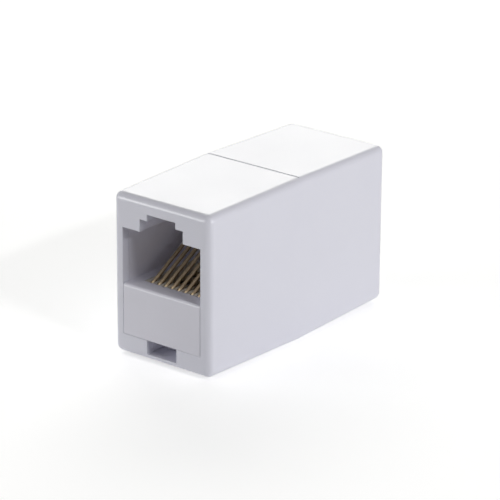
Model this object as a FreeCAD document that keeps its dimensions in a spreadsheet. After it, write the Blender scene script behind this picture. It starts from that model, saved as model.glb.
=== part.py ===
import FreeCAD, Part
import math
import os
import Sketcher

# An inline coupler for two eight-way modular plugs: a white moulded box with a port in each end.
# It is two equal halves that meet at mid-length, one of them turned half a turn about the upright axis.
# X is the width, Y the length (the front port faces -Y) and Z is up. The origin is under the seam,
# on the lowest edge of the case. Every half is drawn in front, and the rear one is the same, turned.
# Sizes are in millimetres, heights are above the origin, and depths are from the port's end face.

SIZES = {
    # case
    "half_length": 16.9,
    "seam_width": 15.2,
    "seam_height": 20.7,
    "draft_angle": 1.0,
    "long_edge_radius": 0.92,
    "end_edge_radius": 0.9,
    "seam_groove": 0.13,
    "side_wall": 1.1,
    "bottom_wall": 1.05,
    "top_wall": 1.2,
    "end_wall": 1.1,
    # lip that registers one half in the other, and its snap bead
    "lip_thickness": 0.5,
    "lip_length": 1.2,
    "lip_gap": 0.05,
    "lip_start": 0.3,
    "bead_height": 0.15,
    "bead_width": 0.4,
    "bead_length": 6.0,
    "bead_place": 0.55,
    # port
    "port_width": 11.8,
    "port_height": 7.02,
    "port_depth": 11.9,
    "deck_height": 9.2,
    "latch_width": 6.55,
    "latch_rise": 1.56,
    "key_width": 4.3,
    "key_rise": 0.8,
    "slot_width": 4.5,
    "slot_height": 1.76,
    # jack insert
    "fit_gap": 0.05,
    "panel_gap": 0.06,
    "panel_edge_radius": 0.35,
    "deck_thickness": 2.8,
    "web_thickness": 1.1,
    "skirt_thickness": 0.85,
    "roof_thickness": 0.8,
    "latch_rail": 0.7,
    "comb_wall": 1.2,
    "comb_slot_width": 0.6,
    "comb_slot_spare": 0.5,
    "slot_box_wall": 0.6,
    "slot_depth": 1.7,
    # contact block
    "block_margin": 0.9,
    "block_top_drop": 0.05,
    "block_bottom_drop": 1.2,
    "flange_width": 0.45,
    "flange_drop": 1.3,
    "flange_thickness": 0.7,
    "groove_width": 0.56,
    "tooth_reach": 0.07,
    "nose_depth": 2.2,
    "well_margin": 0.5,
    "well_end_wall": 1.1,
    # contacts
    "contact_pitch": 1.016,
    "wire_diameter": 0.46,
    "fold_front": 2.5,
    "fold_radius": 0.75,
    "fold_drop": 0.1,
    "contact_slope": 30.0,
    "tip_in_comb": 0.7,
    "tail_step": 2.0,
    "tail_past_board": 0.3,
    "jog_radius": 0.6,
    "jog_slope": 55.0,
    "jog_reach": 0.35,
    # board
    "board_thickness": 1.0,
    "board_height": 10.0,
    "board_hole": 0.6,
}
CONTACTS = 8
WIRE_SIDES = 6
TOUCH = 0.001

doc = FreeCAD.newDocument("inline_coupler")
sheet = doc.addObject("Spreadsheet::Sheet", "size")
for row, (alias, value) in enumerate(SIZES.items(), 1):
    sheet.set(f"A{row}", alias)
    sheet.set(f"B{row}", str(value))
    sheet.setAlias(f"B{row}", alias)
doc.recompute()

# Sizes that follow from the sheet, as expressions. Depths count from the end face of the half.
INNER_HALF = "(size.seam_width / 2 - size.side_wall)"
INNER_TOP = "(size.seam_height - size.top_wall)"
SLOT_TOP = "(size.bottom_wall + size.slot_height)"
SHOULDER = "(size.deck_height + size.port_height)"
LATCH_TOP = f"({SHOULDER} + size.latch_rise)"
KEY_TOP = f"({LATCH_TOP} + size.key_rise)"
BOARD_FACE = "(size.board_thickness / 2)"
INSERT_HALF = f"({INNER_HALF} - size.fit_gap)"
INSERT_FOOT = "(size.bottom_wall + size.fit_gap)"
INSERT_TOP = f"({INNER_TOP} - size.fit_gap)"
INSERT_FRONT = "(size.end_wall + size.fit_gap)"
INSERT_BACK = f"(size.half_length - {BOARD_FACE} - size.fit_gap)"
ROOF_TOP = f"({SHOULDER} + size.roof_thickness)"
LATCH_WAY_HALF = "(size.latch_width / 2 + size.fit_gap)"
DECK_BOTTOM = "(size.deck_height - size.deck_thickness)"
COMB_BACK = "(size.port_depth + size.comb_wall)"
FIRST_CONTACT = f"(size.contact_pitch * {(CONTACTS - 1) / 2})"
WIRE_RUN = "(size.deck_height - size.fold_drop - size.fold_radius * (1 + cos(size.contact_slope)))"
FOLD_CENTRE = "(size.fold_front + size.fold_radius)"
FOLD_CORNER = f"({FOLD_CENTRE} - size.fold_radius * tan(90 - size.contact_slope / 2))"
TIP_DEPTH = "(size.port_depth + size.tip_in_comb)"
TIP_HEIGHT = f"({WIRE_RUN} + ({TIP_DEPTH} - {FOLD_CORNER}) * tan(size.contact_slope))"
LOW_ROW = f"({WIRE_RUN} - size.tail_step)"
JOG_END = f"({INSERT_BACK} - size.jog_reach)"
JOG_START = f"({JOG_END} - size.tail_step / tan(size.jog_slope))"
BLOCK_HALF = f"({FIRST_CONTACT} + size.block_margin)"
BLOCK_TOP = "(size.deck_height - size.block_top_drop)"
BLOCK_BOTTOM = f"({WIRE_RUN} - size.block_bottom_drop)"
BLOCK_FRONT = "(size.fold_front - size.wire_diameter / 2 - size.tooth_reach)"
BLOCK_BACK = f"({INSERT_BACK} - size.fit_gap)"
FLANGE_TOP = "(size.deck_height - size.flange_drop)"
FLANGE_BOTTOM = f"({FLANGE_TOP} - size.flange_thickness)"
FLANGE_HALF = f"({BLOCK_HALF} + size.flange_width)"
CORE_FRONT = "(size.fold_front + (size.wire_diameter + size.fit_gap) / 2)"
CORE_BOTTOM = f"({WIRE_RUN} + (size.wire_diameter + size.fit_gap) / 2)"
CORE_TOP = f"({WIRE_RUN} + size.fold_radius)"
WELL_HALF = f"({FIRST_CONTACT} + size.well_margin)"
WELL_FRONT = f"({BLOCK_FRONT} + size.nose_depth)"
WELL_BACK = "(size.port_depth - size.well_end_wall)"


def new_body(label, turned):
    """Start a sub-part. A turned one stands in the rear half."""
    body = doc.addObject("PartDesign::Body", label)
    body.Label = label
    if turned:
        half_turn = FreeCAD.Rotation(FreeCAD.Vector(0, 0, 1), 180)
        body.Placement = FreeCAD.Placement(FreeCAD.Vector(0, 0, 0), half_turn)
    return body


def origin_part(body, role):
    return next(part for part in body.Origin.OriginFeatures if part.Role == role)


def new_sketch(body, name, plane, offset="0"):
    """Open a sketch on an origin plane. The XZ plane's offset is a distance towards the front, -Y."""
    sketch = body.newObject("Sketcher::SketchObject", f"{body.Name}_{name}_sketch")
    sketch.AttachmentSupport = [(origin_part(body, plane), "")]
    sketch.MapMode = "FlatFace"
    sketch.setExpression("AttachmentOffset.Base.z", offset)
    return sketch


def bind(sketch, constraint, expression):
    """Add a dimension and tie it to the sheet."""
    index = sketch.addConstraint(constraint)
    sketch.setExpression(f"Constraints[{index}]", expression)


def value_of(expression):
    return float(sheet.evalExpression(expression.replace("size.", "")))


def square_loop(sketch, *edges):
    """Close a right-angled outline. Each edge is its axis, x or y, and the expression for its place on it."""
    places = [value_of(expression) for axis, expression in edges]
    count = len(edges)
    first = sketch.GeometryCount

    def corner(index):
        before, after = places[index - 1], places[index % count]
        if edges[index - 1][0] == "x":
            return FreeCAD.Vector(before, after, 0)
        return FreeCAD.Vector(after, before, 0)

    for index in range(count):
        sketch.addGeometry(Part.LineSegment(corner(index), corner(index + 1)), False)
    for index, (axis, expression) in enumerate(edges):
        line = first + index
        following = first + (index + 1) % count
        sketch.addConstraint(Sketcher.Constraint("Coincident", line, 2, following, 1))
        sketch.addConstraint(Sketcher.Constraint("Vertical" if axis == "x" else "Horizontal", line))
        dimension = "DistanceX" if axis == "x" else "DistanceY"
        bind(sketch, Sketcher.Constraint(dimension, -1, 1, line, 1, places[index]), expression)


def pin(sketch, geometry, end, corner):
    """Hold a point of the sketch at a corner, a pair of expressions."""
    across, up = corner
    bind(sketch, Sketcher.Constraint("DistanceX", -1, 1, geometry, end, value_of(across)), across)
    bind(sketch, Sketcher.Constraint("DistanceY", -1, 1, geometry, end, value_of(up)), up)


def polygon(sketch, *corners):
    """Close an outline with a straight line from each corner to the next."""
    first = sketch.GeometryCount
    count = len(corners)
    points = [FreeCAD.Vector(value_of(across), value_of(up), 0) for across, up in corners]
    for index in range(count):
        sketch.addGeometry(Part.LineSegment(points[index], points[(index + 1) % count]), False)
    for index, corner in enumerate(corners):
        following = first + (index + 1) % count
        sketch.addConstraint(Sketcher.Constraint("Coincident", first + index, 2, following, 1))
        pin(sketch, first + index, 1, corner)


def bent_line(sketch, corners, radii):
    """Draw a wire's centre line: straight runs between corners, each corner turned by a tangent arc.

    Corners are pairs of expressions, and the runs are held to them as fixed points.
    """
    points = [FreeCAD.Vector(value_of(x), value_of(y), 0) for x, y in corners]
    towards = [(after - before).normalize() for before, after in zip(points, points[1:])]
    starts, ends, arcs = [points[0]], [], []
    for corner, came, goes, radius in zip(points[1:], towards, towards[1:], radii):
        bend = value_of(radius)
        half_turn = came.getAngle(goes) / 2
        leaves = corner - came * bend * math.tan(half_turn)
        joins = corner + goes * bend * math.tan(half_turn)
        middle = corner + (goes - came).normalize() * (bend / math.cos(half_turn) - bend)
        ends.append(leaves)
        starts.append(joins)
        arcs.append(Part.Arc(leaves, middle, joins))
    ends.append(points[-1])
    runs = len(starts)
    for start, end in zip(starts, ends):
        sketch.addGeometry(Part.LineSegment(start, end), False)
    for index, arc in enumerate(arcs):
        turn = sketch.addGeometry(arc, False)
        # A sketch keeps its arcs anticlockwise, so one that turns right starts where the wire leaves it.
        turns_left = towards[index].cross(towards[index + 1]).z > 0
        near, far = (1, 2) if turns_left else (2, 1)
        sketch.addConstraint(Sketcher.Constraint("Tangent", index, 2, turn, near))
        sketch.addConstraint(Sketcher.Constraint("Tangent", turn, far, index + 1, 1))
        bind(sketch, Sketcher.Constraint("Radius", turn, value_of(radii[index])), radii[index])
    pin(sketch, 0, 1, corners[0])
    pin(sketch, runs - 1, 2, corners[-1])
    for index, corner in enumerate(corners[1:-1]):
        mark = sketch.addGeometry(Part.Point(points[index + 1]), True)
        pin(sketch, mark, 1, corner)
        sketch.addConstraint(Sketcher.Constraint("PointOnObject", mark, 1, index))
        sketch.addConstraint(Sketcher.Constraint("PointOnObject", mark, 1, index + 1))


def wire_section(sketch, across, height):
    """The wire's round section, drawn with a few equal sides inside its diameter and the lowest one level."""
    radius = value_of("size.wire_diameter") / 2
    step = 2 * math.pi / WIRE_SIDES
    centre = FreeCAD.Vector(value_of(across), value_of(height), 0)
    circle = sketch.addGeometry(Part.Circle(centre, FreeCAD.Vector(0, 0, 1), radius), True)
    pin(sketch, circle, 3, (across, height))
    bind(sketch, Sketcher.Constraint("Diameter", circle, 2 * radius), "size.wire_diameter")

    def corner(index):
        angle = (index + 0.5) * step - math.pi / 2
        return centre + FreeCAD.Vector(math.cos(angle), math.sin(angle), 0) * radius

    for index in range(WIRE_SIDES):
        sketch.addGeometry(Part.LineSegment(corner(index - 1), corner(index)), False)
    first = circle + 1
    for side in range(first, first + WIRE_SIDES):
        following = side + 1 if side < first + WIRE_SIDES - 1 else first
        sketch.addConstraint(Sketcher.Constraint("Coincident", side, 2, following, 1))
        sketch.addConstraint(Sketcher.Constraint("PointOnObject", side, 2, circle))
        if side > first:
            sketch.addConstraint(Sketcher.Constraint("Equal", first, side))
    sketch.addConstraint(Sketcher.Constraint("Horizontal", first))


def rectangle(sketch, half_width, low, high):
    """A rectangle centred across the part, from one height to another."""
    square_loop(sketch, ("x", f"-{half_width}"), ("y", high), ("x", half_width), ("y", low))


def extrude(body, kind, name, sketch, length, reverse=False, midplane=False):
    """Pad or pocket a sketch by a length from the sheet."""
    feature = body.newObject(f"PartDesign::{kind}", f"{body.Name}_{name}")
    feature.Profile = sketch
    feature.setExpression("Length", length)
    feature.Reversed = reverse
    if midplane:
        feature.SideType = "Symmetric"
    before = body.Shape.Volume if body.Shape.Solids else 0
    doc.recompute()
    if abs(body.Shape.Volume - before) < 1e-6:
        raise RuntimeError(f"{feature.Name} changes nothing")
    return feature


def edge_names(feature, wanted):
    return [f"Edge{index}" for index, edge in enumerate(feature.Shape.Edges, 1) if wanted(edge)]


def dress(body, kind, name, base, wanted, size_name, expression):
    """Fillet or chamfer the edges of the last feature that pass a test."""
    feature = body.newObject(f"PartDesign::{kind}", f"{body.Name}_{name}")
    feature.Base = (base, edge_names(base, wanted))
    feature.setExpression(size_name, expression)
    doc.recompute()
    return feature


def repeat_across(body, name, feature):
    """Repeat a feature for each contact, at their pitch along X."""
    pattern = body.newObject("PartDesign::LinearPattern", f"{body.Name}_{name}")
    pattern.Originals = [feature]
    pattern.Direction = (origin_part(body, "X_Axis"), [""])
    pattern.setExpression("Length", f"size.contact_pitch * {CONTACTS - 1}")
    pattern.Occurrences = CONTACTS
    body.Tip = pattern
    doc.recompute()
    return pattern


def shell(label, turned):
    """Half of the case: a drafted box, open at the seam, with the port's opening in its end wall."""
    body = new_body(label, turned)

    # The box is widest at the seam. Its top, bottom and sides lean in towards the end face.
    lean = "(size.half_length * tan(size.draft_angle))"
    side_view = new_sketch(body, "side_view", "YZ_Plane")
    polygon(
        side_view,
        ("0", "0"),
        ("-size.half_length", lean),
        ("-size.half_length", f"size.seam_height - {lean}"),
        ("0", "size.seam_height"),
    )
    extrude(body, "Pad", "block", side_view, "size.seam_width", midplane=True)
    side_cuts = new_sketch(body, "side_cuts", "XY_Plane")
    for side in ("", "-"):
        seam_corner = f"{side}size.seam_width / 2"
        end_corner = f"{side}(size.seam_width / 2 - {lean})"
        end = "-size.half_length"
        polygon(side_cuts, (seam_corner, "0"), (seam_corner, end), (end_corner, end))
    block = extrude(body, "Pocket", "side_cuts", side_cuts, "size.seam_height", reverse=True)

    def runs_along(edge):
        start, end = edge.Vertexes[0].Point, edge.Vertexes[-1].Point
        return abs(start.y - end.y) > 0.9 * edge.Length

    def round_the_end(edge):
        return edge.BoundBox.YMax < TOUCH - value_of("size.half_length")

    long_edges = dress(body, "Fillet", "long_edges", block, runs_along, "Radius", "size.long_edge_radius")
    dress(body, "Fillet", "end_edges", long_edges, round_the_end, "Radius", "size.end_edge_radius")

    # The halves' upper and lower edges are bevelled where they meet, which leaves a shallow groove.
    seam = new_sketch(body, "seam", "YZ_Plane")
    inset, top = "size.seam_groove", "size.seam_height"
    polygon(seam, (f"-{inset}", top), ("0", top), ("0", f"{top} - {inset}"))
    polygon(seam, (f"-{inset}", "0"), ("0", inset), ("0", "0"))
    extrude(body, "Pocket", "seam", seam, "size.seam_width", midplane=True)

    hollow = new_sketch(body, "hollow", "XZ_Plane")
    rectangle(hollow, INNER_HALF, "size.bottom_wall", INNER_TOP)
    extrude(body, "Pocket", "hollow", hollow, "size.half_length - size.end_wall", reverse=True)

    # One opening through the end wall: the slot, then the insert's panel and the port, as wide as each other,
    # and over them the latch way and its key slot.
    opening = new_sketch(body, "opening", "XZ_Plane", "size.half_length")
    halves = (
        "(size.slot_width / 2)",
        "(size.port_width / 2)",
        "(size.latch_width / 2)",
        "(size.key_width / 2)",
    )
    levels = ("size.bottom_wall", SLOT_TOP, SHOULDER, LATCH_TOP, KEY_TOP)
    up = zip(halves, levels[1:])
    up_the_left = [edge for half, top in up for edge in (("x", f"-{half}"), ("y", top))]
    down = zip(halves[::-1], levels[-2::-1])
    down_the_right = [edge for half, low in down for edge in (("x", half), ("y", low))]
    square_loop(opening, *up_the_left, *down_the_right)
    extrude(body, "Pocket", "opening", opening, "size.end_wall + size.fit_gap")

    # Half of the seam carries a lip inside the wall, and the other half the rebate for the mating lip.
    rebate = new_sketch(body, "rebate", "XZ_Plane")
    reach = "(size.lip_thickness + size.lip_gap)"
    square_loop(
        rebate,
        ("y", f"size.bottom_wall - {reach}"),
        ("x", f"{INNER_HALF} + {reach}"),
        ("y", f"{INNER_TOP} + {reach}"),
        ("x", "size.lip_start - size.lip_gap"),
        ("y", INNER_TOP),
        ("x", INNER_HALF),
        ("y", "size.bottom_wall"),
        ("x", "size.lip_start - size.lip_gap"),
    )
    extrude(body, "Pocket", "rebate", rebate, "size.lip_length + size.lip_gap", reverse=True)
    lip = new_sketch(body, "lip", "XZ_Plane")
    square_loop(
        lip,
        ("y", "size.bottom_wall - size.lip_thickness"),
        ("x", f"-{INNER_HALF} - size.lip_thickness"),
        ("y", f"{INNER_TOP} + size.lip_thickness"),
        ("x", "-size.lip_start"),
        ("y", INNER_TOP),
        ("x", f"-{INNER_HALF}"),
        ("y", "size.bottom_wall"),
        ("x", "-size.lip_start"),
    )
    extrude(body, "Pad", "lip", lip, "size.lip_length", reverse=True)

    # A bead on the lip snaps into a groove in the side of the mating rebate.
    snap_half = f"({INNER_HALF} + size.lip_thickness)"
    mid_height = "size.seam_height / 2"
    groove = new_sketch(body, "groove", "XY_Plane", f"{mid_height} - size.bead_length / 2 - size.lip_gap")
    square_loop(
        groove,
        ("x", f"{snap_half}"),
        ("y", "-size.bead_place + size.lip_gap"),
        ("x", f"{snap_half} + size.lip_gap + size.bead_height"),
        ("y", "-size.bead_place - size.bead_width - size.lip_gap"),
    )
    extrude(body, "Pocket", "groove", groove, "size.bead_length + 2 * size.lip_gap", reverse=True)
    bead = new_sketch(body, "bead", "XY_Plane", f"{mid_height} - size.bead_length / 2")
    square_loop(
        bead,
        ("x", f"-{snap_half}"),
        ("y", "size.bead_place"),
        ("x", f"-{snap_half} - size.bead_height"),
        ("y", "size.bead_place + size.bead_width"),
    )
    extrude(body, "Pad", "bead", bead, "size.bead_length")
    return body


def jack_insert(label, turned):
    """The carrier behind a port: panel, deck, cheeks, roofs and comb wall in one moulding."""
    body = new_body(label, turned)
    depth = f"{INSERT_BACK} - {INSERT_FRONT}"

    # A block that fills the shell's width, with the rails of the latch way standing on it.
    carrier = new_sketch(body, "carrier", "XZ_Plane", f"size.half_length - {INSERT_BACK}")
    rail_half = f"({LATCH_WAY_HALF} + size.latch_rail)"
    square_loop(
        carrier,
        ("y", INSERT_FOOT),
        ("x", f"-{INSERT_HALF}"),
        ("y", ROOF_TOP),
        ("x", f"-{rail_half}"),
        ("y", INSERT_TOP),
        ("x", rail_half),
        ("y", ROOF_TOP),
        ("x", INSERT_HALF),
    )
    extrude(body, "Pad", "carrier", carrier, depth)

    # The port for the plug's body, and over it the open way for its latch.
    port = new_sketch(body, "port", "XZ_Plane", f"size.half_length - {INSERT_FRONT}")
    square_loop(
        port,
        ("y", "size.deck_height"),
        ("x", "-size.port_width / 2"),
        ("y", SHOULDER),
        ("x", f"-{LATCH_WAY_HALF}"),
        ("y", f"{INSERT_TOP} + 1"),
        ("x", LATCH_WAY_HALF),
        ("y", SHOULDER),
        ("x", "size.port_width / 2"),
    )
    extrude(body, "Pocket", "port", port, f"size.port_depth - {INSERT_FRONT}")
    rear_room = new_sketch(body, "rear_room", "XZ_Plane", f"size.half_length - {INSERT_BACK}")
    rectangle(rear_room, f"({INSERT_HALF} + 1)", "size.deck_height", f"{INSERT_TOP} + 1")
    extrude(body, "Pocket", "rear_room", rear_room, f"{INSERT_BACK} - {COMB_BACK}", reverse=True)

    # Cored out from below and behind: the skirts and the web behind the panel stay.
    core = new_sketch(body, "core", "XZ_Plane", f"size.half_length - {INSERT_BACK}")
    rectangle(core, f"({INSERT_HALF} - size.skirt_thickness)", f"{INSERT_FOOT} - 1", DECK_BOTTOM)
    extrude(body, "Pocket", "core", core, f"{depth} - size.web_thickness", reverse=True)

    # The box that closes the slot from behind.
    box_half = "(size.slot_width / 2 + size.slot_box_wall)"
    box_front = f"({INSERT_FRONT} + size.web_thickness)"
    box_back = f"({INSERT_FRONT} + size.slot_depth + size.slot_box_wall)"
    slot_box = new_sketch(body, "slot_box", "XZ_Plane", f"size.half_length - {box_front}")
    rectangle(slot_box, box_half, INSERT_FOOT, f"{SLOT_TOP} + size.slot_box_wall")
    extrude(body, "Pad", "slot_box", slot_box, f"{box_back} - {box_front}", reverse=True)
    slot = new_sketch(body, "slot", "XZ_Plane", f"size.half_length - {INSERT_FRONT}")
    rectangle(slot, "size.slot_width / 2", f"{INSERT_FOOT} - 1", SLOT_TOP)
    extrude(body, "Pocket", "slot", slot, "size.slot_depth")

    # Stepped way through the deck for the contact block, which slides in from behind.
    way = new_sketch(body, "block_way", "XZ_Plane", f"size.half_length - {INSERT_BACK}")
    narrow = f"({BLOCK_HALF} + size.fit_gap)"
    wide = f"({FLANGE_HALF} + size.fit_gap)"
    flange_low = f"{FLANGE_BOTTOM} - size.fit_gap"
    flange_high = f"{FLANGE_TOP} + size.fit_gap"
    square_loop(
        way,
        ("y", f"{DECK_BOTTOM} - 1"),
        ("x", f"-{narrow}"),
        ("y", flange_low),
        ("x", f"-{wide}"),
        ("y", flange_high),
        ("x", f"-{narrow}"),
        ("y", "size.deck_height"),
        ("x", narrow),
        ("y", flange_high),
        ("x", wide),
        ("y", flange_low),
        ("x", narrow),
    )
    extrude(body, "Pocket", "block_way", way, f"{INSERT_BACK} - {BLOCK_FRONT} + size.fit_gap", reverse=True)

    # Comb: a slot in the wall for the free end of each contact.
    comb = new_sketch(body, "comb", "XZ_Plane", f"size.half_length - {COMB_BACK}")
    square_loop(
        comb,
        ("x", f"-{FIRST_CONTACT} - size.comb_slot_width / 2"),
        ("y", f"{TIP_HEIGHT} + size.comb_slot_spare"),
        ("x", f"-{FIRST_CONTACT} + size.comb_slot_width / 2"),
        ("y", "size.deck_height"),
    )
    comb_slot = extrude(body, "Pocket", "comb", comb, "size.comb_wall", reverse=True)
    repeat_across(body, "comb_row", comb_slot)

    # The panel fills the shell's opening below the port and ends flush with the end face.
    panel = new_sketch(body, "panel", "XZ_Plane", f"size.half_length - {INSERT_FRONT}")
    panel_half = "(size.port_width / 2 - size.panel_gap)"
    rectangle(panel, panel_half, f"{SLOT_TOP} + size.panel_gap / 2", "size.deck_height")
    face = extrude(body, "Pad", "panel", panel, INSERT_FRONT)

    def front_edge_of_deck(edge):
        box = edge.BoundBox
        at_front = box.YMax < TOUCH - value_of("size.half_length")
        return at_front and box.ZMin > value_of("size.deck_height") - TOUCH

    dress(body, "Fillet", "panel_edge", face, front_edge_of_deck, "Radius", "size.panel_edge_radius")
    return body


def contact_block(label, turned):
    """The block that the wires wrap round: a flanged frame with a channel for each wire and an open well."""
    body = new_body(label, turned)
    profile = new_sketch(body, "profile", "XZ_Plane", f"size.half_length - {BLOCK_BACK}")
    square_loop(
        profile,
        ("y", BLOCK_BOTTOM),
        ("x", f"-{BLOCK_HALF}"),
        ("y", FLANGE_BOTTOM),
        ("x", f"-{FLANGE_HALF}"),
        ("y", FLANGE_TOP),
        ("x", f"-{BLOCK_HALF}"),
        ("y", BLOCK_TOP),
        ("x", BLOCK_HALF),
        ("y", FLANGE_TOP),
        ("x", FLANGE_HALF),
        ("y", FLANGE_BOTTOM),
        ("x", BLOCK_HALF),
    )
    extrude(body, "Pad", "block", profile, f"{BLOCK_BACK} - {BLOCK_FRONT}")

    # The sprung legs sink into the well when a plug goes in. Behind the comb the block is only a tray.
    well = new_sketch(body, "well", "XZ_Plane", f"size.half_length - {WELL_BACK}")
    rectangle(well, WELL_HALF, f"{BLOCK_BOTTOM} - 1", f"{BLOCK_TOP} + 1")
    extrude(body, "Pocket", "well", well, f"{WELL_BACK} - {WELL_FRONT}", reverse=True)

    # Each wire's channel goes round a thin core: over it, down the nose and back along the underside.
    channel = new_sketch(body, "channel", "YZ_Plane", f"-{FIRST_CONTACT}")
    square_loop(
        channel,
        ("x", f"{BLOCK_FRONT} - 1 - size.half_length"),
        ("y", f"{BLOCK_TOP} + 1"),
        ("x", f"{WELL_FRONT} + 1 - size.half_length"),
        ("y", CORE_TOP),
        ("x", f"{CORE_FRONT} - size.half_length"),
        ("y", CORE_BOTTOM),
        ("x", f"{BLOCK_BACK} + 1 - size.half_length"),
        ("y", f"{BLOCK_BOTTOM} - 1"),
    )
    groove = extrude(body, "Pocket", "channel", channel, "size.groove_width", midplane=True)
    channels = repeat_across(body, "channels", groove)

    # The nose of each core is rounded inside the fold of its wire.
    nose = value_of(CORE_FRONT) - value_of("size.half_length")
    underside = value_of(CORE_BOTTOM)

    def under_the_nose(edge):
        box = edge.BoundBox
        return box.XLength > TOUCH and abs(box.YMax - nose) < TOUCH and abs(box.ZMax - underside) < TOUCH

    dress(body, "Fillet", "noses", channels, under_the_nose, "Radius", f"({CORE_TOP} - {CORE_BOTTOM}) * 0.9")
    return body


def contact(label, turned, number):
    """One bent wire: tail through the board, run under the deck, fold at the front, sprung leg in the port.

    Odd contacts run straight to the board, and even ones step down to its lower row of holes.
    """
    body = new_body(label, turned)
    across = f"size.contact_pitch * {number - (CONTACTS + 1) / 2}"
    tail_end = f"({BOARD_FACE} + size.tail_past_board)"
    tail_row = WIRE_RUN
    fold = (f"{FOLD_CORNER} - size.half_length", WIRE_RUN)
    tip = (f"{TIP_DEPTH} - size.half_length", TIP_HEIGHT)
    corners = [fold, tip]
    radii = ["size.fold_radius"]
    if number % 2 == 0:
        tail_row = LOW_ROW
        jog = [(f"{JOG_END} - size.half_length", LOW_ROW), (f"{JOG_START} - size.half_length", WIRE_RUN)]
        corners = jog + corners
        radii = ["size.jog_radius", "size.jog_radius"] + radii
    path = new_sketch(body, "path", "YZ_Plane", across)
    bent_line(path, [(tail_end, tail_row)] + corners, radii)
    section = new_sketch(body, "section", "XZ_Plane", f"-{tail_end}")
    wire_section(section, across, tail_row)
    wire = body.newObject("PartDesign::AdditivePipe", f"{body.Name}_wire")
    wire.Profile = section
    wire.Spine = path
    doc.recompute()
    return body


def link_board(label):
    """The circuit board across the seam, with two holes at each contact's place."""
    body = new_body(label, False)
    plate = new_sketch(body, "plate", "XZ_Plane", f"-{BOARD_FACE}")
    rectangle(plate, INSERT_HALF, INSERT_FOOT, f"{INSERT_FOOT} + size.board_height")
    extrude(body, "Pad", "plate", plate, "size.board_thickness")
    holes = new_sketch(body, "holes", "XZ_Plane", f"-{BOARD_FACE}")
    for row, height in enumerate((WIRE_RUN, LOW_ROW)):
        centre = FreeCAD.Vector(-value_of(FIRST_CONTACT), value_of(height), 0)
        circle = Part.Circle(centre, FreeCAD.Vector(0, 0, 1), value_of("size.board_hole") / 2)
        holes.addGeometry(circle, False)
        bind(holes, Sketcher.Constraint("DistanceX", -1, 1, row, 3, centre.x), f"-{FIRST_CONTACT}")
        bind(holes, Sketcher.Constraint("DistanceY", -1, 1, row, 3, centre.y), height)
        bind(holes, Sketcher.Constraint("Diameter", row, 2 * circle.Radius), "size.board_hole")
    pair = extrude(body, "Pocket", "holes", holes, "size.board_thickness", reverse=True)
    repeat_across(body, "hole_rows", pair)
    return body


sub_parts = [link_board("link_board")]
for half, turned in (("front", False), ("rear", True)):
    sub_parts.append(shell(f"{half}_shell", turned))
    sub_parts.append(jack_insert(f"{half}_jack_insert", turned))
    sub_parts.append(contact_block(f"{half}_contact_block", turned))
    for number in range(1, CONTACTS + 1):
        sub_parts.append(contact(f"{half}_contact_{number}", turned, number))
doc.recompute()

for item in doc.Objects:
    if "Invalid" in item.State or "Error" in item.State:
        raise RuntimeError(f"{item.Name} failed: {item.State}")
for part in sub_parts:
    if part.Shape.isNull() or not part.Shape.isValid() or len(part.Shape.Solids) != 1:
        raise RuntimeError(f"{part.Label} is not one valid solid")

os.makedirs("parts", exist_ok=True)
for part in sub_parts:
    part.Shape.exportStep(f"parts/{part.Label}.step")
    print(f"{part.Label}: {part.Shape.Volume:.2f} mm3")
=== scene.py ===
# %% [markdown]
# # A white inline coupler for two modular plugs
#
# The object is a small box of white moulded plastic with a socket in each end. It is made of two
# equal halves, pressed together at mid-length. Behind each opening a white insert makes the walls
# of the socket, and eight gold plated wires spring up out of its floor to meet the plug.
#
# The solids arrive ready made from the CAD model, at their true size and in metres. This lesson
# gives them their edges and finishes, makes the round contact wires, and sets up a small studio.

import math

import bmesh
import bpy
from mathutils import Matrix, Vector


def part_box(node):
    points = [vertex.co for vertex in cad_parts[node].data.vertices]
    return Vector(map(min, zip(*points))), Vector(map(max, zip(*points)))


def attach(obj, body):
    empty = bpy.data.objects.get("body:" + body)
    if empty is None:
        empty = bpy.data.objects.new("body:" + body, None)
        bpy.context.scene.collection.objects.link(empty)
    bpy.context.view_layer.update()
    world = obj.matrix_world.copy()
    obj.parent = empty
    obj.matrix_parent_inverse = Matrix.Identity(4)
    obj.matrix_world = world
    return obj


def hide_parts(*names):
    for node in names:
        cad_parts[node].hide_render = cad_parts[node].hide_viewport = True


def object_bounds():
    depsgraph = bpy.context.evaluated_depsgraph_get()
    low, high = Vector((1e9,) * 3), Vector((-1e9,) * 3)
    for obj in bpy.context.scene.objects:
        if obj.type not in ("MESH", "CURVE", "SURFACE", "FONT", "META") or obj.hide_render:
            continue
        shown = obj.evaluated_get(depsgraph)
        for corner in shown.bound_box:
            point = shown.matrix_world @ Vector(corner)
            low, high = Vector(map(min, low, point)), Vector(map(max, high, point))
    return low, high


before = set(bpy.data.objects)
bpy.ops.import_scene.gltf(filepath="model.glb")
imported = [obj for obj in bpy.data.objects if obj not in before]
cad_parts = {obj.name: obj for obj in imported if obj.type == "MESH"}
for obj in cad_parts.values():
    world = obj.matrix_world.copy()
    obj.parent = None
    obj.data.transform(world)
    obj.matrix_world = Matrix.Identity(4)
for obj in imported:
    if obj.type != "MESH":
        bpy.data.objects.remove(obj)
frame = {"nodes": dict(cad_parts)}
cad_low, cad_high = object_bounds()
scene = bpy.context.scene
MM = 0.001
print("CAD box in mm:", [round(side / MM, 2) for side in cad_high - cad_low])

# %% [markdown]
# ## The camera
#
# A small product looks calm through a long lens from far off, because its edges stay nearly
# parallel. The camera stands to the right of the front port and a little above it, so that the
# port, the long side and the top all show. It turns a hair about its own axis, as a camera on a
# hand-set tripod does.

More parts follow.
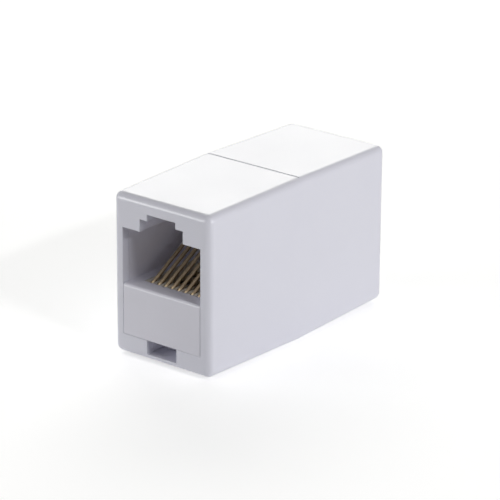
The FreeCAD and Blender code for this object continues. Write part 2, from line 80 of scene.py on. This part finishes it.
# %% Camera
AZIMUTH = math.radians(38.6)
ELEVATION = math.radians(20.65)
ROLL = math.radians(0.34)
DISTANCE = 359.0 * MM
LENS = 214.3
SENSOR = 36.0
SLIDE_LEFT = 0.225 * MM
SLIDE_DOWN = 0.48 * MM
NEAREST_SEEN = 10 * MM

back = Vector((
    math.sin(AZIMUTH) * math.cos(ELEVATION),
    -math.cos(AZIMUTH) * math.cos(ELEVATION),
    math.sin(ELEVATION),
))
level = Vector((math.cos(AZIMUTH), math.sin(AZIMUTH), 0))
upright = back.cross(level)
right = level * math.cos(ROLL) + upright * math.sin(ROLL)
up = upright * math.cos(ROLL) - level * math.sin(ROLL)
aim = Vector((0, 0, (cad_low.z + cad_high.z) / 2))
place = aim + back * DISTANCE - right * SLIDE_LEFT - up * SLIDE_DOWN

camera_data = bpy.data.cameras.new("camera")
camera_data.lens = LENS
camera_data.sensor_width = SENSOR
camera_data.clip_start = NEAREST_SEEN
camera = bpy.data.objects.new("camera", camera_data)
turned = Matrix((right, up, back)).transposed().to_4x4()
camera.matrix_world = Matrix.Translation(place) @ turned
scene.collection.objects.link(camera)
scene.camera = camera
print("camera stands at", [round(c, 3) for c in place])

# %% [markdown]
# ## Helpers for materials
#
# Colours are written as the hex values that a designer would pick on a screen. Blender works in
# linear light, so one function turns them. Another adds a node to a tree, sets it up and plugs
# its inputs in, which keeps every material below short enough to read as a recipe.

# %% Colours and nodes
def linear(hex_colour):
    """Turn an sRGB hex colour into Blender's linear colour."""
    channels = [int(hex_colour[i:i + 2], 16) / 255 for i in (1, 3, 5)]
    lit = [c / 12.92 if c <= 0.04045 else ((c + 0.055) / 1.055) ** 2.4 for c in channels]
    return (*lit, 1)


def live(sockets, name):
    """Find a socket by name. Of several with one name, take the first that is in use."""
    return next(socket for socket in sockets if socket.name == name and socket.enabled)


def add(tree, kind, inputs=None, **settings):
    """Add a node. Settings are its properties, inputs the values, nodes or sockets that feed it."""
    made = tree.nodes.new(kind)
    for name, value in settings.items():
        setattr(made, name, value)
    for name, value in (inputs or {}).items():
        socket = live(made.inputs, name)
        if isinstance(value, bpy.types.Node):
            value = next(output for output in value.outputs if output.enabled)
        if isinstance(value, bpy.types.NodeSocket):
            tree.links.new(value, socket)
        else:
            socket.default_value = value
    return made


def new_material(name):
    """Start an empty material and return it with its node tree."""
    material = bpy.data.materials.new(name)
    material.use_nodes = True
    material.node_tree.nodes.clear()
    return material, material.node_tree


WHITE = "#FFFFFF"
print("mid grey #808080 in linear light:", [round(c, 3) for c in linear("#808080")])

# %% [markdown]
# ## Moulded plastic
#
# The case and the inserts are ABS, moulded in polished steel. That gives a smooth, fairly glossy
# white skin, with a faint waviness where the plastic shrank and a very fine grain from the steel.
# The grain is too fine to see at this size, so it is drawn a little coarser than it is. The white
# varies by a hair from place to place, and so does the gloss, because no moulding is perfect.
#
# Waves and grain could be cut into the mesh, but they are a hundredth of a millimetre deep at most
# and wouldn't show in the outline. Two Bump nodes show them with no faces added. The noise reads
# Object coordinates, which are real lengths, so the widths below are given in millimetres.
#
# The blocks that the wires fold round are PBT, a plastic that stands the heat of soldering. It is
# left uncoloured, which makes it a warm off-white, and it is duller and rougher than the case.

# %% Moulded plastic material
PLASTIC_IOR = 1.53
MOTTLE_WIDTH = 6 * MM
GLOSS_SPREAD = 0.04


def moulded_plastic(name, colour, shade, roughness, grain, grain_depth, wave, wave_depth):
    """A moulded plastic. Its grain and waves are real sizes, their widths and depths in metres."""
    material, tree = new_material(name)
    coordinates = add(tree, "ShaderNodeTexCoord").outputs["Object"]
    mottle = add(
        tree,
        "ShaderNodeTexNoise",
        {"Vector": coordinates, "Scale": 1 / MOTTLE_WIDTH, "Detail": 3},
    )
    tint = add(
        tree,
        "ShaderNodeMix",
        {"Factor": mottle, "A": linear(colour), "B": linear(shade)},
        data_type="RGBA",
    )
    gloss = add(
        tree,
        "ShaderNodeMapRange",
        {
            "Value": mottle,
            "To Min": roughness - GLOSS_SPREAD,
            "To Max": roughness + GLOSS_SPREAD,
        },
    )
    waves = add(
        tree,
        "ShaderNodeTexNoise",
        {"Vector": coordinates, "Scale": 1 / wave, "Detail": 1},
    )
    wavy = add(tree, "ShaderNodeBump", {"Height": waves, "Distance": wave_depth})
    specks = add(
        tree,
        "ShaderNodeTexNoise",
        {"Vector": coordinates, "Scale": 1 / grain, "Detail": 2},
    )
    grainy = add(
        tree,
        "ShaderNodeBump",
        {"Height": specks, "Distance": grain_depth, "Normal": wavy},
    )
    surface = add(
        tree,
        "ShaderNodeBsdfPrincipled",
        {
            "Base Color": tint,
            "Roughness": gloss,
            "Normal": grainy,
            "IOR": PLASTIC_IOR,
        },
    )
    add(tree, "ShaderNodeOutputMaterial", {"Surface": surface})
    return material


case_abs = moulded_plastic(
    "white_abs",
    "#E7E7F1",
    "#E4E4EF",
    roughness=0.3,
    grain=0.25 * MM,
    grain_depth=0.0008 * MM,
    wave=5 * MM,
    wave_depth=0.003 * MM,
)
insert_abs = moulded_plastic(
    "insert_abs",
    "#E7E6F0",
    "#E4E3ED",
    roughness=0.33,
    grain=0.25 * MM,
    grain_depth=0.001 * MM,
    wave=4 * MM,
    wave_depth=0.003 * MM,
)
block_pbt = moulded_plastic(
    "natural_pbt",
    "#D8D3C8",
    "#CFC9BC",
    roughness=0.48,
    grain=0.15 * MM,
    grain_depth=0.003 * MM,
    wave=3 * MM,
    wave_depth=0.01 * MM,
)
print("plastics:", [material.name for material in (case_abs, insert_abs, block_pbt)])

# %% [markdown]
# ## Gold plated wire
#
# The contacts are drawn phosphor bronze wire with a thin layer of gold. Drawing leaves fine lines
# along the wire. The wires bend only up and down, never sideways, so noise that is squeezed
# across the coupler and long in the other two directions follows them round every bend. A texture
# unwrapped along each wire would do it too, but this one needs no unwrapping. The lines break the
# shine up, so that the wires look brushed and a little dull rather than polished.

# %% Gold plated wire material
ALONG_THE_LINES = 0.02
LINE_DEPTH = 0.002 * MM


def drawn_gold(name, colour, shade, roughness, line_width):
    """Gold plating over drawn wire, with lines of the given width along it."""
    material, tree = new_material(name)
    coordinates = add(tree, "ShaderNodeTexCoord").outputs["Object"]
    squeezed = add(
        tree,
        "ShaderNodeMapping",
        {"Vector": coordinates, "Scale": (1, ALONG_THE_LINES, ALONG_THE_LINES)},
    )
    lines = add(
        tree,
        "ShaderNodeTexNoise",
        {"Vector": squeezed, "Scale": 1 / line_width, "Detail": 2},
    )
    tint = add(
        tree,
        "ShaderNodeMix",
        {"Factor": lines, "A": linear(colour), "B": linear(shade)},
        data_type="RGBA",
    )
    bump = add(tree, "ShaderNodeBump", {"Height": lines, "Distance": LINE_DEPTH})
    surface = add(
        tree,
        "ShaderNodeBsdfPrincipled",
        {
            "Base Color": tint,
            "Metallic": 1.0,
            "Roughness": roughness,
            "Normal": bump,
        },
    )
    add(tree, "ShaderNodeOutputMaterial", {"Surface": surface})
    return material


contact_gold = drawn_gold(
    "gold_plated_wire",
    "#C6B394",
    "#AB9878",
    roughness=0.38,
    line_width=0.06 * MM,
)
print("metal:", contact_gold.name)

# %% [markdown]
# ## Circuit board
#
# The link board is glass cloth in epoxy, under green lacquer. The cloth's weave shows faintly
# through the lacquer as a fine grid of lighter and darker squares, about half a millimetre apart.
# The threads could be modelled, but the board sits deep inside between the two halves and is
# hardly seen, so a checker pattern at the threads' spacing is enough.

# %% Circuit board material
def lacquered_board(name, colour, shade, roughness, thread):
    """Glass cloth laminate under lacquer. The thread is the spacing of the cloth's threads."""
    material, tree = new_material(name)
    coordinates = add(tree, "ShaderNodeTexCoord").outputs["Object"]
    weave = add(tree, "ShaderNodeTexChecker", {"Vector": coordinates, "Scale": 1 / thread})
    tint = add(
        tree,
        "ShaderNodeMix",
        {"Factor": weave, "A": linear(colour), "B": linear(shade)},
        data_type="RGBA",
    )
    surface = add(
        tree,
        "ShaderNodeBsdfPrincipled",
        {"Base Color": tint, "Roughness": roughness},
    )
    add(tree, "ShaderNodeOutputMaterial", {"Surface": surface})
    return material


board_laminate = lacquered_board(
    "green_laminate",
    "#1F6B3A",
    "#1B6235",
    roughness=0.35,
    thread=0.5 * MM,
)
print("board:", board_laminate.name)

# %% [markdown]
# ## Softened edges
#
# No moulding has perfectly sharp edges: where two faces meet, a radius of a tenth of a millimetre
# or less catches a thin line of light. The CAD solids have their large radii already. The small
# ones could be made there too, at the price of many more faces in every solid. They are added here
# instead, on a copy of each moulding, with a Bevel modifier on every edge sharper than thirty
# degrees. The edges where two mouldings close flush against each other stay sharp: those
# at mid-length, and those inside the port where the insert meets the case's end wall. The copy is
# merged and its flat faces joined first, because the solid arrives as loose triangles. A last
# modifier keeps the large flat faces evenly lit, by letting them set the normals at their edges.

# %% Softened copies of the mouldings
SHARP = math.radians(30)
END_WALL = 1.1 * MM
FIT_GAP = 0.05 * MM
MARGIN = 0.01 * MM
SAME_POINT = 0.0002 * MM
SAME_PLANE = math.radians(0.5)
SHELL_EDGE = 0.05 * MM
INSERT_EDGE = 0.06 * MM


def at_a_joint(edge):
    """True for an edge in one of the planes where two mouldings close against each other."""
    depths = [cad_high.y - abs(vert.co.y) for vert in edge.verts]
    at_seam = min(depths) > cad_high.y - MARGIN
    inside_port = min(depths) > END_WALL - MARGIN and max(depths) < END_WALL + FIT_GAP + MARGIN
    return at_seam or inside_port


def softened(name, edge_radius):
    """Copy a CAD node, round its sharp edges and let the copy stand for it."""
    mesh = frame["nodes"][name].data.copy()
    mesh.name = f"{name}_moulding"
    work = bmesh.new()
    work.from_mesh(mesh)
    bmesh.ops.remove_doubles(work, verts=work.verts, dist=SAME_POINT)
    bmesh.ops.dissolve_limit(
        work,
        angle_limit=SAME_PLANE,
        verts=work.verts,
        edges=work.edges,
    )
    weight = work.edges.layers.float.new("bevel_weight_edge")
    for edge in work.edges:
        if edge.calc_face_angle(0) > SHARP and not at_a_joint(edge):
            edge[weight] = 1
    work.to_mesh(mesh)
    work.free()
    piece = bpy.data.objects.new(mesh.name, mesh)
    scene.collection.objects.link(piece)
    bevel = piece.modifiers.new("edges", "BEVEL")
    bevel.width = edge_radius
    bevel.segments = 2
    bevel.limit_method = "WEIGHT"
    flatter = piece.modifiers.new("flat faces shade flat", "WEIGHTED_NORMAL")
    flatter.keep_sharp = True
    mesh.shade_smooth()
    mesh.set_sharp_from_angle(angle=SHARP)
    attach(piece, "root")
    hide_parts(name)
    return piece


mouldings = {}
for end in ("front", "rear"):
    mouldings[f"{end}_shell"] = softened(f"{end}_shell", SHELL_EDGE)
    mouldings[f"{end}_jack_insert"] = softened(f"{end}_jack_insert", INSERT_EDGE)
for name, piece in mouldings.items():
    print(name, len(piece.data.polygons), "faces before the bevel")

# %% Finish the CAD nodes
FINISHES = {
    "shell": case_abs,
    "jack_insert": insert_abs,
    "contact_block": block_pbt,
    "link_board": board_laminate,
}
for name, node in {**frame["nodes"], **mouldings}.items():
    for ending, material in FINISHES.items():
        if name.endswith(ending):
            node.data.materials.clear()
            node.data.materials.append(material)
print("finished", len(FINISHES), "kinds of piece")

# %% [markdown]
# ## The contact wires
#
# Each contact is one piece of round wire. It comes through the link board, runs forward under the
# floor of the socket, folds back over a rounded core and springs up into the socket at a slope.
# Every second wire steps down near the board, to a second row of holes.
#
# A wire that follows a path and repeats at a fixed pitch is work for Geometry Nodes. A mesh holds
# only the corners of the two paths, each with the radius of its bend. The tree rounds the corners,
# sweeps a circle along them, and repeats the pair four times across the socket.

# %% Sizes of the wires
CONTACT_PITCH = 1.016 * MM
CONTACTS = 8
WIRE_DIAMETER = 0.46 * MM
FOLD_RADIUS = 0.75 * MM
JOG_RADIUS = 0.6 * MM
SLOPE = math.radians(30)
JOG_SLOPE = math.radians(55)
JOG_BEFORE_BOARD = 0.4 * MM
CAD_WIRE_SIDES = 6

first_low, first_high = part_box("front_contact_1")
second_low, second_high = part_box("front_contact_2")
print("contact 1 box in mm:", [round(c / MM, 2) for c in (*first_low, *first_high)])
print("contact 2 box in mm:", [round(c / MM, 2) for c in (*second_low, *second_high)])

# %% [markdown]
# The paths follow from those sizes and from the boxes of the first two CAD wires. A box gives the
# level of the run under the floor, the end of the tail and the tip of the leg. A CAD wire has six
# sides and lies on a flat one, so the box ends at a flat, a little nearer to the wire's middle than
# the round wire's own radius. The corner of the fold lies where the run and the leg would meet if
# the wire had no bend.

# %% Corners of the two paths
radius = WIRE_DIAMETER / 2
flat_radius = radius * math.cos(math.pi / CAD_WIRE_SIDES)
run_level = first_low.z + flat_radius
low_level = second_low.z + flat_radius
tail_end = first_high.y
fold_front = first_low.y + flat_radius
fold_corner = fold_front + FOLD_RADIUS - FOLD_RADIUS / math.tan(SLOPE / 2)
tip_level = first_high.z - flat_radius * math.cos(SLOPE)
tip_y = fold_corner + (tip_level - run_level) / math.tan(SLOPE)
step = run_level - low_level
jog_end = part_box("link_board")[0].y - JOG_BEFORE_BOARD
jog_start = jog_end - step / math.tan(JOG_SLOPE)

straight_path = [
    (tail_end, run_level, 0),
    (fold_corner, run_level, FOLD_RADIUS),
    (tip_y, tip_level, 0),
]
stepped_path = [
    (tail_end, low_level, 0),
    (jog_end, low_level, JOG_RADIUS),
    (jog_start, run_level, JOG_RADIUS),
    (fold_corner, run_level, FOLD_RADIUS),
    (tip_y, tip_level, 0),
]
for name, path in (("straight", straight_path), ("stepped", stepped_path)):
    print(name, "path in mm:", [[round(c / MM, 2) for c in corner] for corner in path])

# %% [markdown]
# The two paths become one small mesh of points and edges. Each point carries the radius of its
# bend as an attribute, which the tree reads by name.

# %% Mesh of the two paths
def path_mesh(name, paths):
    """Make a mesh with one line of edges for each path: its place across, and its corners."""
    points, edges, bends = [], [], []
    for across, corners in paths:
        first = len(points)
        points += [(across, y, z) for y, z, bend in corners]
        bends += [bend for y, z, bend in corners]
        edges += [(n, n + 1) for n in range(first, len(points) - 1)]
    mesh = bpy.data.meshes.new(name)
    mesh.from_pydata(points, edges, [])
    mesh.attributes.new("bend", "FLOAT", "POINT").data.foreach_set("value", bends)
    return mesh


first_across = (first_low.x + first_high.x) / 2
second_across = first_across + CONTACT_PITCH
pair = [(first_across, straight_path), (second_across, stepped_path)]
paths = path_mesh("wire_paths", pair)
print("paths:", len(paths.vertices), "points and", len(paths.edges), "edges")

# %% Geometry Nodes tree of the wires
def sprung_wires_tree():
    """Round a path's corners, sweep a round wire along it and repeat it across the socket."""
    tree = bpy.data.node_groups.new("sprung wires", "GeometryNodeTree")
    sizes = {
        "Wire Diameter": "NodeSocketFloat",
        "Sides": "NodeSocketInt",
        "Steps in a Bend": "NodeSocketInt",
        "Repeats": "NodeSocketInt",
        "Repeat Distance": "NodeSocketFloat",
        "Material": "NodeSocketMaterial",
    }
    tree.interface.new_socket("Paths", in_out="INPUT", socket_type="NodeSocketGeometry")
    for name, kind in sizes.items():
        tree.interface.new_socket(name, in_out="INPUT", socket_type=kind)
    tree.interface.new_socket("Wires", in_out="OUTPUT", socket_type="NodeSocketGeometry")

    given = add(tree, "NodeGroupInput").outputs
    lines = add(tree, "GeometryNodeMeshToCurve", {"Mesh": given["Paths"]})
    bend = add(tree, "GeometryNodeInputNamedAttribute", {"Name": "bend"}, data_type="FLOAT")
    rounded = add(
        tree,
        "GeometryNodeFilletCurve",
        {"Curve": lines, "Radius": bend, "Count": given["Steps in a Bend"]},
        mode="POLY",
    )
    radius = add(tree, "ShaderNodeMath", {"Value": given["Wire Diameter"]}, operation="MULTIPLY")
    radius.inputs[1].default_value = 0.5
    circle = add(
        tree,
        "GeometryNodeCurvePrimitiveCircle",
        {"Resolution": given["Sides"], "Radius": radius},
        mode="RADIUS",
    )
    swept = add(
        tree,
        "GeometryNodeCurveToMesh",
        {"Curve": rounded, "Profile Curve": live(circle.outputs, "Curve"), "Fill Caps": True},
    )
    offset = add(tree, "ShaderNodeCombineXYZ", {"X": given["Repeat Distance"]})
    row = add(
        tree,
        "GeometryNodeMeshLine",
        {"Count": given["Repeats"], "Offset": offset},
        mode="OFFSET",
    )
    wires = add(tree, "GeometryNodeInstanceOnPoints", {"Points": row, "Instance": swept})
    solid = add(tree, "GeometryNodeRealizeInstances", {"Geometry": wires})
    plated = add(
        tree,
        "GeometryNodeSetMaterial",
        {"Geometry": solid, "Material": given["Material"]},
    )
    add(tree, "NodeGroupOutput", {"Wires": plated})
    return tree


wires_tree = sprung_wires_tree()
sockets = wires_tree.interface.items_tree
print("tree inputs:", [item.name for item in sockets if item.in_out == "INPUT"])

# %% [markdown]
# The modifier's inputs are set by their identifiers, because a name alone doesn't reach them. The
# result is then made a plain mesh. The rear half's wires are the front ones turned half a turn.

# %% Contact wires
def grow(name, source, tree, values):
    """Run a tree on a mesh and return the result as a plain mesh."""
    holder = bpy.data.objects.new(name, source)
    scene.collection.objects.link(holder)
    modifier = holder.modifiers.new(tree.name, "NODES")
    modifier.node_group = tree
    for item in tree.interface.items_tree:
        if item.in_out == "INPUT" and item.name in values:
            modifier[item.identifier] = values[item.name]
    shown = holder.evaluated_get(bpy.context.evaluated_depsgraph_get())
    mesh = bpy.data.meshes.new_from_object(shown)
    mesh.name = name
    bpy.data.objects.remove(holder)
    return mesh


ROUND_SIDES = 20
BEND_STEPS = 16
wire_values = {
    "Wire Diameter": WIRE_DIAMETER,
    "Sides": ROUND_SIDES,
    "Steps in a Bend": BEND_STEPS,
    "Repeats": CONTACTS // 2,
    "Repeat Distance": 2 * CONTACT_PITCH,
    "Material": contact_gold,
}
front_wires = grow("front_contact_wires", paths, wires_tree, wire_values)
front_wires.shade_smooth()
front_wires.set_sharp_from_angle(angle=SHARP)
rear_wires = front_wires.copy()
rear_wires.name = "rear_contact_wires"
rear_wires.transform(Matrix.Rotation(math.pi, 4, "Z"))
for end, mesh in (("front", front_wires), ("rear", rear_wires)):
    wires = bpy.data.objects.new(mesh.name, mesh)
    scene.collection.objects.link(wires)
    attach(wires, "root")
    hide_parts(*[f"{end}_contact_{number}" for number in range(1, CONTACTS + 1)])
    print(mesh.name, len(mesh.polygons), "faces")

# %% [markdown]
# ## Floor and backdrop
#
# The floor is a plain pale sheet. With no floor at all the coupler would seem to float. A camera
# sees it as white, as in a shop's picture, but it still takes the coupler's soft shadow, because
# what the camera sees is its real, lit surface with a little white added. The added white shows in
# reflections too. It is kept out of all other light, because it would brighten the coupler from
# below and wash out the shadows in its sockets.

# %% Floor
FLOOR_SIZE = 3.0
FLOOR_GAP = 0.01 * MM
FLOOR_GLOW = 0.55


def looked_at(tree):
    """Give one to a ray from the camera, a reflection or glass, and nought to all other light."""
    rays = add(tree, "ShaderNodeLightPath").outputs
    direct = add(tree, "ShaderNodeMath", operation="MAXIMUM")
    tree.links.new(rays["Is Camera Ray"], direct.inputs[0])
    tree.links.new(rays["Is Glossy Ray"], direct.inputs[1])
    through = add(tree, "ShaderNodeMath", operation="MAXIMUM")
    tree.links.new(direct.outputs[0], through.inputs[0])
    tree.links.new(rays["Is Transmission Ray"], through.inputs[1])
    return through


def pale_floor(name):
    """White to the camera and to reflections, with the shadows on it, and pale to light."""
    material, tree = new_material(name)
    paper = add(tree, "ShaderNodeBsdfDiffuse", {"Color": linear("#F4F4F4")})
    glow = add(tree, "ShaderNodeEmission", {"Color": linear(WHITE), "Strength": FLOOR_GLOW})
    seen = add(tree, "ShaderNodeAddShader")
    tree.links.new(paper.outputs[0], seen.inputs[0])
    tree.links.new(glow.outputs[0], seen.inputs[1])
    chosen = add(tree, "ShaderNodeMixShader", {"Fac": looked_at(tree)})
    tree.links.new(paper.outputs[0], chosen.inputs[1])
    tree.links.new(seen.outputs[0], chosen.inputs[2])
    add(tree, "ShaderNodeOutputMaterial", {"Surface": chosen})
    return material


floor_mesh = bpy.data.meshes.new("floor")
reach = FLOOR_SIZE / 2
level_of_floor = cad_low.z - FLOOR_GAP
corners = [(-reach, -reach), (reach, -reach), (reach, reach), (-reach, reach)]
floor_mesh.from_pydata([(x, y, level_of_floor) for x, y in corners], [], [(0, 1, 2, 3)])
floor_mesh.materials.append(pale_floor("pale_floor"))
floor = bpy.data.objects.new("floor", floor_mesh)
scene.collection.objects.link(floor)
print("floor", FLOOR_SIZE, "m square")

# %% [markdown]
# ## Light
#
# The top is the brightest face, then the long side, then the port's face, and the edges between
# them are a shade darker than the faces beside them, which draws the box's form. Five soft boxes
# do that. The sheen box stands low behind, at the left, where the top mirrors it towards the
# camera, and a weak one in front and above helps it. The side box lies low at the right. It is
# thin and stands a little behind the port, so that it lights no more than the long side. The port
# box, thin too, is high enough at the right to throw the shadow of the port's upper edge on the
# wall inside. The front box is low at the left, so that the upright edge nearest to the camera
# stays grey. The world adds a faint light from everywhere, and is white where it is seen or
# mirrored.

# %% World
AMBIENT = 0.05
SEEN_WHITE = 1.0

world = bpy.data.worlds.new("studio")
scene.world = world
world.use_nodes = True
around = world.node_tree
around.nodes.clear()
dim = add(around, "ShaderNodeBackground", {"Color": linear(WHITE), "Strength": AMBIENT})
bright = add(around, "ShaderNodeBackground", {"Color": linear(WHITE), "Strength": SEEN_WHITE})
sky = add(around, "ShaderNodeMixShader", {"Fac": looked_at(around)})
around.links.new(dim.outputs[0], sky.inputs[1])
around.links.new(bright.outputs[0], sky.inputs[2])
add(around, "ShaderNodeOutputWorld", {"Surface": sky})
print("world strength", AMBIENT)

# %% Soft boxes
LAMP_DISTANCE = 0.5


def soft_box(name, direction, width, height, power, colour):
    """A flat lamp that faces the coupler from a direction. Sizes are in metres, power in watts."""
    lamp_data = bpy.data.lights.new(name, "AREA")
    lamp_data.shape = "RECTANGLE"
    lamp_data.size = width
    lamp_data.size_y = height
    lamp_data.energy = power
    lamp_data.color = linear(colour)[:3]
    lamp = bpy.data.objects.new(name, lamp_data)
    towards = Vector(direction).normalized()
    turn = towards.to_track_quat("Z", "Y").to_matrix().to_4x4()
    lamp.matrix_world = Matrix.Translation(aim + towards * LAMP_DISTANCE) @ turn
    scene.collection.objects.link(lamp)
    print(name, "at", [round(c, 2) for c in lamp.matrix_world.translation])


WARM = "#FFFFFA"
soft_box("sheen_box", (-0.554, 0.693, 0.461), 0.4, 0.235, 1.11, WARM)
soft_box("top_box", (0.0, -0.35, 1.0), 0.3, 0.3, 0.25, WARM)
soft_box("side_box", (1.0, 0.09, 0.06), 0.12, 0.03, 0.92, WHITE)
soft_box("port_box", (1.0, -0.196, 0.66), 0.09, 0.02, 0.5, WHITE)
soft_box("front_box", (-0.7, -0.7, 0.05), 0.2, 0.2, 1.37, WHITE)

# %% [markdown]
# ## Finish
#
# The colours are shown as they are written, with no film look.

# %% Finish the scene
scene.view_settings.view_transform = "Standard"
